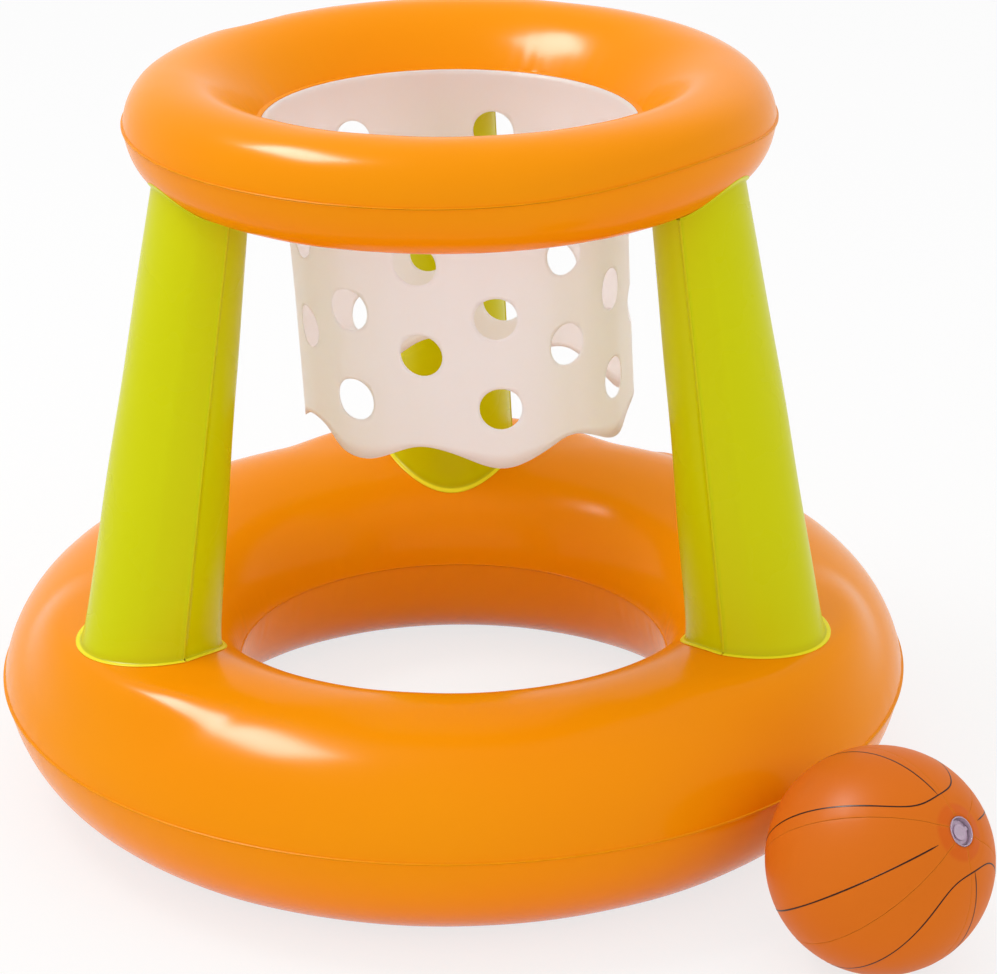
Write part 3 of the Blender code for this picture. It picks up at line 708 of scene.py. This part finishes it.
def leg_panel(leg, side):
    """The outer face of one panel, from its welded foot to its welded top, and its masks."""
    turn = np.linspace(-seam_limit, seam_limit, leg_columns)
    turn = np.concatenate([turn[:1], turn, turn[-1:]])
    shape = (turn, side, leg)
    foot, top = np.full(len(turn), foot_level), np.full(len(turn), top_level)
    for _ in range(end_tries):
        foot = on_ring(leg_plan(foot, 0.0, *shape)[0], 1)
        top = on_ring(leg_plan(top, top - foot, *shape)[0], -1)
    even = np.linspace(0, 1, leg_rows)
    share = (even_share * even + end_share * (0.5 - 0.5 * np.cos(np.pi * even)))[:, None]
    level = foot + (top - foot) * share
    flat, _ = leg_plan(level, level - foot, *shape)
    wall = np.concatenate([flat, level[..., None]], axis=-1)

    def end(level, above_foot, ring_side, width):
        """Three rows that spread out from the wall's end and lie along the ring's film."""
        flat, axis = leg_plan(level, above_foot, *shape)
        outward = (flat - axis) / np.linalg.norm(flat - axis, axis=-1, keepdims=True)
        spread = flat + outward * width * np.array(end_row_shares)[:, None, None]
        return np.concatenate([spread, on_ring(spread, ring_side)[..., None]], axis=-1)

    foot_end, top_end = end(foot, 0.0, 1, foot_weld), end(top, top - foot, -1, top_weld)[::-1]
    points = np.concatenate([foot_end, wall, top_end])
    weld = np.zeros(points.shape[:2])
    weld[:, 0], weld[:, -1] = side_weld_share, side_weld_share
    weld[:3], weld[-3:] = foot_weld_share, top_weld_share
    # Painted shade just above the foot weld and just under the top weld.
    deep = np.zeros(points.shape[:2])
    deep[3:-3] = foot_shade * np.exp(-(((level - foot) / foot_shade_reach) ** 2))
    deep[3:-3] += top_shade * np.exp((level - top) / top_shade_reach)
    return points + np.array([hoop_x, hoop_y, 0.0]), weld, deep


leg_lime = film_material(
    "leg_lime", lime_film, lime_blotch_and_shade, lime_weld, blotch=0.35, gloss=0.28, grain=0.08, level=0.10
)
for leg in leg_azimuths:
    for side, which in ((1, "outer"), (-1, "inner")):
        points, weld, deep = leg_panel(leg, side)
        masks = {"weld": weld[:, ::side], "deep": deep[:, ::side]}
        film(
            f"leg_{leg}_{which}_film", points[:, ::side], cells(*weld.shape, False), masks,
            leg_lime, "hoop", "lime_vinyl", [f"leg_{leg}_{which}_panel"],
        )


# Net
# One strip of thin frosted vinyl, rolled into a sleeve, with punched holes and a wavy hem.
# Its upper edge turns out and is welded between the rim's two films.
frosted = (0.990, 0.975, 0.984)
frosted_deep = (0.965, 0.930, 0.925)
net_wall = 0.0004
net_top_radius, net_skirt_radius, net_ease = 0.1314, 0.1190, 0.035
net_lip_width = 0.0006
net_lip_radius = rim_sizes["middle"] - rim_sizes["inner_reach"] - net_lip_width
net_fold_start = 0.08

# The net's folds: how many go round, how high, where they start and their twist with depth.
net_folds = ((5, 0.0011, 0.6, 0), (11, 0.0008, 2.1, 0), (19, 0.0005, 1.2, 9))
net_columns, net_pitch = 14, 0.0662
first_hole, punch_radius = 0.0495, 0.0150
hem_depth, hem_wave, hem_margin = 0.2180, 0.0080, 0.0062
net_lean, net_turn = 0.05, math.radians(11.6) - math.pi / 2
cells_wide, cells_pitch, punch_cells, warp_cells = 20, 25, 5, 8
rows_above, rows_strip = 5, 71

# The grid rows at which the holes of an even and of an odd column have their middles.
hole_rows = {0: (10, 35, 60), 1: (20, 45)}


def sleeve(turn, depth):
    """The sleeve at a turn, counted in columns of holes, and a depth below the rim's weld.

    Its radius eases from the weld's to the skirt's. It leans a little and hangs in folds."""
    angle = net_turn + turn * 2 * np.pi / net_columns
    fold = sum(
        rise * np.sin(count * angle + start + twist * depth)
        for count, rise, start, twist in net_folds
    )
    ease = (net_top_radius - net_skirt_radius) * np.exp((rim_sizes["inner_drop"] - depth) / net_ease)
    radius = net_skirt_radius + ease + fold * np.clip(depth / net_fold_start, 0, 1)
    x = radius * np.cos(angle) + net_lean * depth
    y = radius * np.sin(angle)
    return np.stack([x, y, rim_sizes["tilt"] * y - depth], axis=-1) + ring_middle(rim_sizes)


def punched_strip():
    """The strip's grid of turns and depths, and a mask of the cells that are punched out.

    Round each hole the square rings of the grid are drawn to circles, fully at the hole's
    edge and fading out three cells from it."""
    step = net_pitch / cells_pitch
    start = first_hole - hole_rows[0][0] * step
    above = np.linspace(rim_sizes["inner_drop"], start, rows_above, endpoint=False)
    plain_depth = np.concatenate([above, start + step * np.arange(rows_strip)])[:, None]
    columns = np.arange(net_columns * cells_wide)[None, :]
    cell = 2 * np.pi * net_skirt_radius / net_columns / cells_wide
    turn = columns / cells_wide + 0 * plain_depth
    depth = plain_depth + 0.0 * columns
    punched = np.zeros(turn.shape, bool)
    half_round = columns.size // 2
    for column in range(net_columns):
        for level in hole_rows[column % 2]:
            side = (columns - column * cells_wide + half_round) % columns.size - half_round
            below = np.arange(len(plain_depth))[:, None] - rows_above - level
            size = np.maximum(np.abs(side), np.abs(below))
            length = np.maximum(np.hypot(side * cell, below * step), step / 10)
            ring = punch_radius * np.minimum(size / punch_cells, 1)
            ring = ring + np.maximum(size - punch_cells, 0) * step
            square = np.clip((size - punch_cells) / (warp_cells - punch_cells), 0, 1)
            grown = square + (1 - square) * ring / length
            close = (size <= warp_cells) & (size > 0)
            spot = (level - hole_rows[0][0] + below * grown) * step
            turn = np.where(close, column + side * grown / cells_wide, turn)
            depth = np.where(close, first_hole + spot, depth)
            inside = (side >= -punch_cells) & (side < punch_cells)
            punched |= inside & (below >= -punch_cells) & (below < punch_cells)
    hem = hem_depth + hem_wave * np.cos(np.pi * turn)
    plain_end = first_hole + 2 * net_pitch + punch_radius + hem_margin
    share = (depth - plain_end) / (depth[-1:] - plain_end)
    return turn, np.where(share > 0, plain_end + (hem - plain_end) * share, depth), punched


net_turns, net_depths, net_punched = punched_strip()
net_points = sleeve(net_turns, net_depths)
net_lip = net_points[:1] - ring_middle(rim_sizes)
net_lip[..., :2] *= net_lip_radius / np.linalg.norm(net_lip[..., :2], axis=-1, keepdims=True)
net_points = np.concatenate([net_lip + ring_middle(rim_sizes), net_points])
net_kept = np.ones((len(net_points) - 1, net_turns.shape[1]), bool)
net_kept[1:] = ~net_punched[:-1]
net_faces = cells(*net_points.shape[:2], True)[net_kept][:, ::-1]
net_used, net_faces = np.unique(net_faces, return_inverse=True)
net_points = net_points.reshape(-1, 3)[net_used]
net_frosted = film_material(
    "net_frosted", frosted, frosted_deep, frosted,
    blotch=0.35, gloss=0.42, grain=0.06, glow=0.8, level=0.12,
)
net_film = film(
    "net_film", net_points, net_faces, {"deep": np.zeros(len(net_points))},
    net_frosted, "hoop", "frosted_vinyl", ["net_sleeve"], wall=net_wall, offset=0.0,
)


# Ball
# Six brown-orange gores welded from pole to pole, with a round patch over the far pole.
# Its valve sits at the near pole, so the valve's axes give the ball's place.
ball_film = (0.750, 0.185, 0.010)
ball_deep = (0.700, 0.130, 0.010)
ball_weld = (0.735, 0.180, 0.010)
ball_radius = 0.0765
gores, gore_turn = 6, math.radians(22)
gore_spread = 2 * np.pi / gores
gore_rows, gore_columns, gore_slack = 84, 25, 0.00012
cup_rise, cup_rise_width = 0.0004, 0.003
disc_dip, disc_dip_width, disc_margin = 0.0006, 0.0035, 0.003
groove_depth, groove_width, weld_width = 0.00010, 0.0010, 0.0008
pucker_rise, pucker_count, pucker_width = 0.00010, 31, 0.004
patch_radius, ball_disc, disc_edge, disc_tone = 0.0135, 0.0170, 0.002, 0.8
patch_rows, patch_columns, patch_middle = 9, 64, 0.0004

ball_axes = valve_axes("ball_valve")
ball_axes[:3, 3] -= ball_axes[:3, 2] * ball_radius


def ball_face(down, turn, lift=0.0):
    """The ball's film, by the angle down from its valve and the turn about the same axis.

    It rises to the valve's cup, dips around the welded disc, and has a groove at each seam."""
    way = down * ball_radius
    rise = cup_rise * np.exp(-(((way - hole_radius) / cup_rise_width) ** 2))
    off_disc = (way - ball_disc - disc_margin) / disc_dip_width
    rise = rise - disc_dip * np.exp(-(off_disc**2))
    off = np.abs((turn - gore_turn + gore_spread / 2) % gore_spread - gore_spread / 2)
    seam = off * ball_radius * np.sin(down)
    rise = rise - groove_depth * np.exp(-((seam / groove_width) ** 2))
    rise = rise + pucker_rise * np.sin(pucker_count * down) * np.exp(-seam / pucker_width)
    radius = ball_radius + rise + lift
    flat = radius * np.sin(down)
    local = np.stack([flat * np.cos(turn), flat * np.sin(turn), radius * np.cos(down)], axis=-1)
    return carried(local, ball_axes), seam


ball_brown = film_material(
    "ball_brown", ball_film, ball_deep, ball_weld, blotch=0.6, gloss=0.42, grain=0.16, level=0.07
)
hole_angle = math.asin(hole_radius / ball_radius)
for number in range(gores):
    down = np.linspace(np.pi - hole_angle, hole_angle, gore_rows)[:, None]
    share = 0.5 - 0.5 * np.cos(np.linspace(0, np.pi, gore_columns))[None, :]
    slack = gore_slack / (ball_radius * np.sin(down))
    turn = gore_turn + gore_spread * number + slack + (gore_spread - 2 * slack) * share
    points, seam = ball_face(down, turn)
    disc = np.clip((ball_disc + disc_margin - down * ball_radius) / disc_edge, 0, 1)
    masks = {"weld": np.exp(-((seam / weld_width) ** 2)), "deep": disc_tone * disc + 0 * share}
    film(
        f"ball_gore_{number + 1}", points, cells(*seam.shape, False), masks,
        ball_brown, "ball", "ball_vinyl", [f"ball_panel_{number + 1}"],
    )

patch_down = np.pi - np.linspace(patch_middle, patch_radius, patch_rows)[:, None] / ball_radius
patch_turn = np.linspace(0, 2 * np.pi, patch_columns, endpoint=False)[None, :]
patch_points, _ = ball_face(patch_down, patch_turn, film_wall + film_clearance)
patch_weld = np.zeros((patch_rows, patch_columns))
patch_weld[-2:] = 1.0
film(
    "ball_end_film", patch_points, cells(patch_rows, patch_columns, True),
    {"weld": patch_weld, "deep": 0 * patch_weld + 0.3},
    ball_brown, "ball", "ball_vinyl", ["ball_end_patch"],
)


# Ball's printed lines
# Dark ink on the film: four straight lines that stop short of both poles, and two loops
# that bend past the poles. Each is a narrow strip of ink that lies on the gores.
ink_colour = (0.030, 0.010, 0.005)
ink_width, ink_lift, ink_wall = 0.0010, 0.00008, 0.00004
ink_unevenness, ink_taper, ink_tip_share = 0.08, 6, 0.2
line_start, short_start, line_points = 17.0, 21.0, 180
loop_clear, loop_power, loop_points = 21.0, 4, 160


def ink_strip(down, turn, closed):
    """A strip of ink along a path on the ball, given by its angles down and round.

    Across the path the strip has five points, set square to the path on the film."""
    way = np.stack([
        np.sin(down) * np.cos(turn), np.sin(down) * np.sin(turn), np.cos(down),
    ], axis=-1)
    if closed:
        ahead = np.roll(way, -1, axis=0) - np.roll(way, 1, axis=0)
    else:
        ahead = np.gradient(way, axis=0)
    side = np.cross(way, ahead)
    side /= np.linalg.norm(side, axis=-1, keepdims=True)
    width = ink_width * (1 + ink_unevenness * np.sin(9 * down + 5 * turn))
    if not closed:
        count = np.arange(len(way))
        width = width * np.clip((np.minimum(count, count[::-1]) + 1) / ink_taper, ink_tip_share, 1)
    across = np.linspace(-0.5, 0.5, 5)[:, None, None] * width[:, None] / ball_radius
    spot = way + side * across
    spot /= np.linalg.norm(spot, axis=-1, keepdims=True)
    new_down = np.arccos(np.clip(spot[..., 2], -1, 1))
    return ball_face(new_down, np.arctan2(spot[..., 1], spot[..., 0]), ink_lift)[0]


straight = np.radians(np.linspace(line_start, 180 - line_start, line_points))
strips = [(straight, 0 * straight + turn, False) for turn in (0.0, np.pi)]
short = np.radians(np.linspace(short_start, 180 - short_start, line_points))
strips += [(short, 0 * short + turn, False) for turn in (np.pi / 2, -np.pi / 2)]

# A loop's half past one pole ends halfway down the ball, where its other half takes over.
loop_end = math.sqrt((90.0**2 - loop_clear**loop_power / 90.0**2) / 2)
loop_x = loop_end * np.linspace(-1, 1, loop_points)
loop_y = (loop_clear**loop_power + loop_x**loop_power) ** (1 / loop_power)
loop_down = np.radians(np.hypot(loop_x, loop_y))
for sign in (1, -1):
    loop_turn = np.arctan2(sign * loop_y, loop_x)
    both_down = np.concatenate([loop_down, np.pi - loop_down[-2:0:-1]])
    both_turn = np.concatenate([loop_turn, loop_turn[-2:0:-1]])
    strips.append((both_down, both_turn, True))

ink = film_material(
    "printed_ink", ink_colour, ink_colour, ink_colour, blotch=0.3, gloss=0.35, grain=0.05
)
ink_points, ink_faces, ink_count = [], [], 0
for down, turn, closed in strips:
    points = ink_strip(down, turn, closed)
    ink_faces.append(ink_count + cells(*points.shape[:2], closed).reshape(-1, 4))
    ink_points.append(points.reshape(-1, 3))
    ink_count += points[..., 0].size
film(
    "ball_printed_lines", np.concatenate(ink_points), np.concatenate(ink_faces), {},
    ink, "ball", None, [], wall=ink_wall,
)


# Valves
# Each air chamber has a soft clear push-in valve: a cup welded to the film from inside, a
# stem that pulls out, a plug on a short strap, and a check flap behind the stem.
clear_tint, clear_deep = (0.90, 0.74, 0.86), (0.72, 0.50, 0.70)
clear_index, clear_share = 1.53, 0.45
valve_steps = 64

# Heights run out along the valve's axis from its plane, and each edge is a rounding.
bore_radius, tube_radius = 0.0030, 0.0045
cup_radius, cup_outer, cup_low, cup_floor = 0.0093, 0.0101, -0.0053, -0.0045
flange_radius, flange_top, flange_low = 0.0165, -0.0008, -0.0015
flange_slack, flange_reach = 0.0001, 0.00076
collar_radius, collar_low, collar_top = 0.0082, -0.0042, -0.0030
stem_low, stem_lip_top, stem_lip_radius = -0.0146, -0.0136, 0.0056
plug_radius, plug_low, plug_top, plug_end = 0.0055, -0.0027, -0.0017, -0.0062
plug_tip_radius, dish_radius, dish_edge_radius, dish_depth = 0.0014, 0.0030, 0.0038, 0.0003
flap_radius, flap_top, flap_low, flap_reach = 0.0039, -0.0149, -0.0154, 0.0046
cup_edge, plug_edge, flap_edge = 0.0004, 0.0003, 0.0002
plug_strap_half_width, plug_strap_root, plug_strap_end = 0.0014, 0.0008, 0.0004
flap_strap_half_width, flap_strap_root, flap_strap_end = 0.0012, 0.0006, 0.0003
strap_rows, strap_columns, strap_roundness = 13, 28, 0.35


def rounded(corners, radius, steps=5):
    """A profile of (radius, height) corners with each corner turned into a short curve.

    A curve leaves each side at the radius from its corner, or at 0.45 of a short side."""
    corners = np.array(corners)
    share = np.linspace(0, 1, steps)[:, None]
    rows = []
    for before, corner, after in zip(np.roll(corners, 1, 0), corners, np.roll(corners, -1, 0)):
        ways = [before - corner, after - corner]
        lengths = [np.linalg.norm(way) for way in ways]
        ends = [corner + way * min(radius / length, 0.45) for way, length in zip(ways, lengths)]
        if corner[0] == 0:
            rows.append(corner[None, :])
        else:
            curve = ends[0] * (1 - share) ** 2 + corner * 2 * share * (1 - share)
            rows.append(curve + ends[1] * share**2)
    return np.concatenate(rows)


def turned(profile, closed):
    """A profile carried round the valve's axis, as points and faces."""
    if closed:
        profile = np.concatenate([profile, profile[:1]])
    turn = np.linspace(0, 2 * np.pi, valve_steps, endpoint=False)[None, :]
    radius, height = profile[:, :1], profile[:, 1:]
    points = np.stack([radius * np.cos(turn), radius * np.sin(turn), height + 0 * turn], axis=-1)
    return points, cells(len(profile), valve_steps, True)


def strap(start, end, half_width, low, high):
    """A short flat strap along X with round edges: a box-like superellipsoid."""
    turn = np.linspace(0, 2 * np.pi, strap_columns, endpoint=False)[None, :]
    tilt = np.linspace(-np.pi / 2, np.pi / 2, strap_rows)[:, None]

    def squared(value):
        """A sine or cosine raised to a low power, which draws the round towards a box."""
        return np.sign(value) * np.abs(value) ** strap_roundness

    x = (start + end) / 2 + (end - start) / 2 * squared(np.cos(tilt)) * squared(np.cos(turn))
    y = half_width * squared(np.cos(tilt)) * squared(np.sin(turn))
    z = (low + high) / 2 + (high - low) / 2 * squared(np.sin(tilt)) + 0 * turn
    return np.stack([x, y + 0 * z, z], axis=-1), cells(strap_rows, strap_columns, True)


clear_vinyl = film_material(
    "clear_vinyl_soft", clear_tint, clear_deep, clear_tint,
    blotch=0.8, gloss=0.12, grain=0.3, level=0.5,
)
clear_shader = clear_vinyl.node_tree.nodes["Principled BSDF"]
clear_shader.inputs["IOR"].default_value = clear_index
clear_shader.inputs["Transmission Weight"].default_value = clear_share


def film_level(prefix, flat, axes):
    """How high the film's outer face lies over a valve's plane, at these points of it."""
    if prefix == "ball_valve":
        spots, _ = ball_face(np.arcsin(np.linalg.norm(flat, axis=-1) / ball_radius), 0.0)
    else:
        sizes = base_sizes if prefix == "base_valve" else rim_sizes
        spots = flattened(film_over(flat, axes, sizes), axes, sizes)
    return seen_from(spots, axes)[..., 2]


def seat_shape(prefix, axes):
    """A valve's cup, with the welded flange round it laid along the film's inner face."""
    points, faces = turned(rounded([
        (flange_radius, flange_top), (flange_radius, flange_low), (cup_outer, flange_low),
        (cup_outer, cup_low), (tube_radius + film_clearance, cup_low),
        (tube_radius + film_clearance, cup_floor), (cup_radius, cup_floor), (cup_radius, 0.0),
        (cup_outer, 0.0), (cup_outer, flange_top),
    ], cup_edge), True)
    away, height = np.linalg.norm(points[..., :2], axis=-1), points[..., 2]
    from_middle = np.abs(height - (flange_top + flange_low) / 2)
    on_flange = (away > cup_outer - flange_slack) & (from_middle < flange_reach)
    flat = points[..., :2] * (np.maximum(away, hole_radius) / away)[..., None]
    points[..., 2] += np.where(on_flange, film_level(prefix, flat, axes), 0)
    return points, faces


def valve_piece(name, shapes, body, replaced, axes):
    """One clear piece of a valve, of one or more closed shapes along the valve's axes."""
    points = [shape.reshape(-1, 3) for shape, _ in shapes]
    starts = np.cumsum([0] + [len(spots) for spots in points])
    faces = [quads.reshape(-1, 4) + start for (_, quads), start in zip(shapes, starts)]
    mesh = bpy.data.meshes.new(name)
    spots = carried(np.concatenate(points), axes)
    mesh.from_pydata(spots.tolist(), [], np.concatenate(faces).tolist())
    build = bmesh.new()
    build.from_mesh(mesh)
    bmesh.ops.remove_doubles(build, verts=build.verts, dist=1e-6)
    bmesh.ops.recalc_face_normals(build, faces=build.faces)
    build.to_mesh(mesh)
    build.free()
    mesh.materials.append(clear_vinyl)
    mesh.shade_smooth()
    piece = bpy.data.objects.new(name, mesh)
    bpy.context.collection.objects.link(piece)
    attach(piece, body)
    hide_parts(replaced)
    return piece


for prefix, owner in (("base_valve", "hoop"), ("rim_valve", "hoop"), ("ball_valve", "ball")):
    axes = valve_axes(prefix)
    valve_piece(f"{prefix}_cup", [seat_shape(prefix, axes)], owner, f"{prefix}_seat", axes)
    stem_profile = rounded([
        (collar_radius, collar_top), (collar_radius, collar_low), (tube_radius, collar_low),
        (tube_radius, stem_lip_top), (stem_lip_radius, stem_lip_top),
        (stem_lip_radius, stem_low), (bore_radius, stem_low), (bore_radius, collar_top),
    ], cup_edge)
    valve_piece(
        f"{prefix}_tube", [turned(stem_profile, True)], f"{prefix}_stem", f"{prefix}_stem", axes
    )
    plug_profile = rounded([
        (0.0, plug_top - dish_depth), (dish_radius, plug_top - dish_depth),
        (dish_edge_radius, plug_top), (plug_radius, plug_top), (plug_radius, plug_low),
        (bore_radius - film_clearance, plug_low), (plug_tip_radius, plug_end), (0.0, plug_end),
    ], plug_edge)
    plug_strap = strap(
        plug_radius - plug_strap_root, plug_reach + plug_strap_end, plug_strap_half_width,
        plug_low, plug_top,
    )
    valve_piece(
        f"{prefix}_stopper", [turned(plug_profile, False), plug_strap],
        f"{prefix}_plug", f"{prefix}_plug", axes,
    )
    flap_profile = rounded([
        (0.0, flap_top), (flap_radius, flap_top), (flap_radius, flap_low), (0.0, flap_low),
    ], flap_edge)
    flap_strap = strap(
        flap_radius - flap_strap_root, flap_reach + flap_strap_end, flap_strap_half_width,
        flap_low, flap_top,
    )
    valve_piece(
        f"{prefix}_check_flap", [turned(flap_profile, False), flap_strap],
        f"{prefix}_flap", f"{prefix}_flap", axes,
    )
